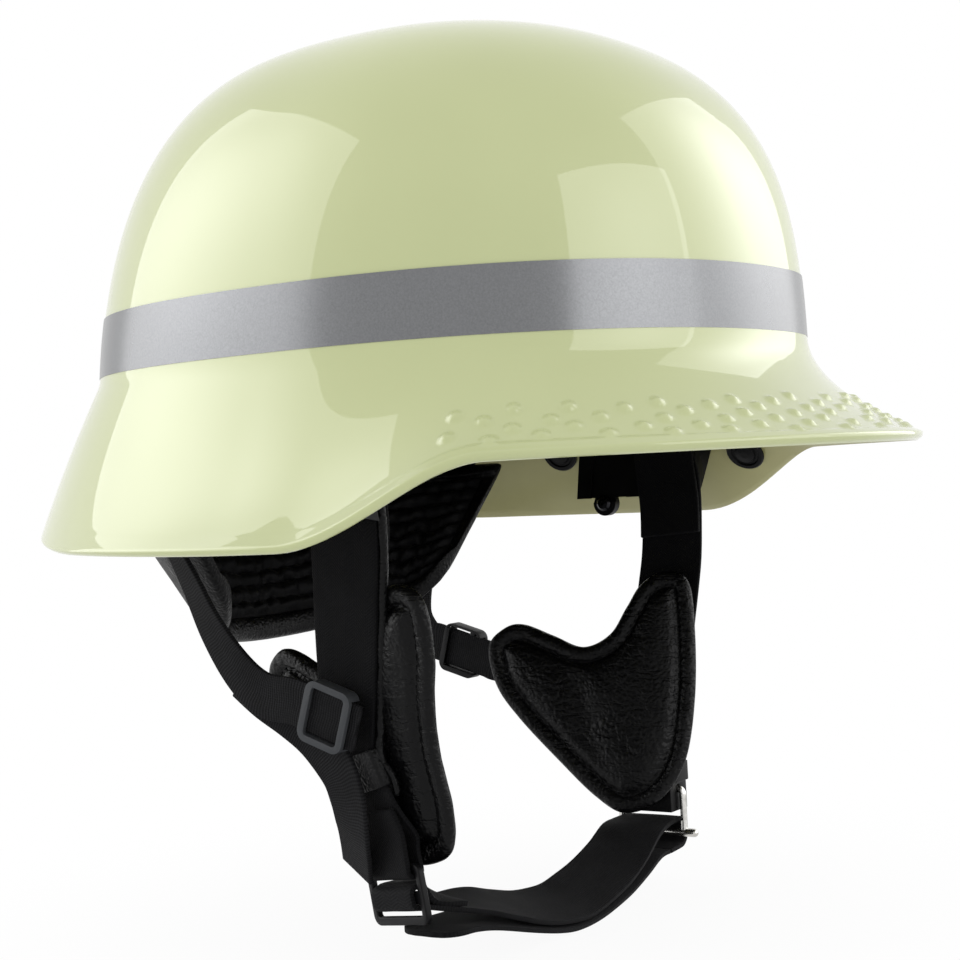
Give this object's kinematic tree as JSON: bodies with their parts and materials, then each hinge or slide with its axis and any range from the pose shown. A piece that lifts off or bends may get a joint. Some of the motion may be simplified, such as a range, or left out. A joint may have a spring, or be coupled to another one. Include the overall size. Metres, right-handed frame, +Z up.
{
  "type": "fire helmet",
  "caption": "Full-brim fire helmet with a flared neck guard, pressed pearls on the brim, a reflective band, an inner carrier, a nape pad and a chin harness with leather side pads.",
  "frame": {"origin": "middle of the headband, level with the crease between the dome and the flare", "axes": "+Z up, -Y towards the front brim, +X towards the wearer's left"},
  "size_m": [0.2716, 0.3117, 0.3067],
  "materials": {
    "shell_paint": "gloss",
    "reflective_tape": "satin",
    "liner_plastic": "matte",
    "sweatband_leather": "satin",
    "crown_webbing": "matte",
    "pad_cloth": "matte",
    "anchor_plastic": "satin",
    "screw_steel": "satin",
    "pad_leather": "satin",
    "black_webbing": "matte",
    "slider_plastic": "satin",
    "rear_slider_plastic": "satin",
    "ring_steel": "polished"
  },
  "bodies": {
    "helmet": {"shell": "shell_paint", "reflective_band": "reflective_tape", "carrier_ring": "liner_plastic", "headband": "liner_plastic", "headband_hangers": "liner_plastic", "sweatband": "sweatband_leather", "crown_strap_middle": "crown_webbing", "crown_strap_left": "crown_webbing", "crown_strap_right": "crown_webbing", "crown_pad": "pad_cloth", "near_anchor_block": "anchor_plastic", "far_anchor_block": "anchor_plastic", "wall_studs": "anchor_plastic", "rear_anchors": "anchor_plastic", "anchor_screws": "screw_steel", "nape_pad": "pad_leather", "nape_lining": "pad_cloth", "nape_tabs": "black_webbing", "near_rear_strap": "black_webbing", "far_rear_strap": "black_webbing"},
    "harness": {"near_front_strap": "black_webbing", "near_front_strap_lining": "black_webbing", "near_join_strap": "black_webbing", "far_front_strap": "black_webbing", "far_front_strap_lining": "black_webbing", "near_side_pad": "pad_leather", "far_side_pad": "pad_leather", "near_pad_keeper": "pad_leather", "far_pad_keeper": "pad_leather", "end_block": "anchor_plastic", "chin_slider": "slider_plastic", "chin_strap": "black_webbing", "chin_strap_tail": "black_webbing"},
    "near_slider": {"near_rear_slider": "rear_slider_plastic"},
    "far_slider": {"far_rear_slider": "rear_slider_plastic"},
    "ring": {"d_ring": "ring_steel"}
  },
  "joints": [
    {"name": "harness_swing", "type": "hinge", "parent": "helmet", "child": "harness", "pos_m": [0, -0.024, -0.03], "axis": [1, 0, 0], "range_deg": [-8, 8], "deforming": ["near_rear_strap", "far_rear_strap"]},
    {"name": "near_slider_slide", "type": "slide", "parent": "harness", "child": "near_slider", "axis": [0, -0.9508, -0.3099], "range_m": [-0.003, 0.003]},
    {"name": "far_slider_slide", "type": "slide", "parent": "harness", "child": "far_slider", "axis": [0, -0.96, -0.28], "range_m": [-0.003, 0.003]},
    {"name": "ring_swing", "type": "hinge", "parent": "harness", "child": "ring", "pos_m": [0.0798, -0.022, -0.1607], "axis": [0, 1, 0], "range_deg": [-6, 6]}
  ]
}
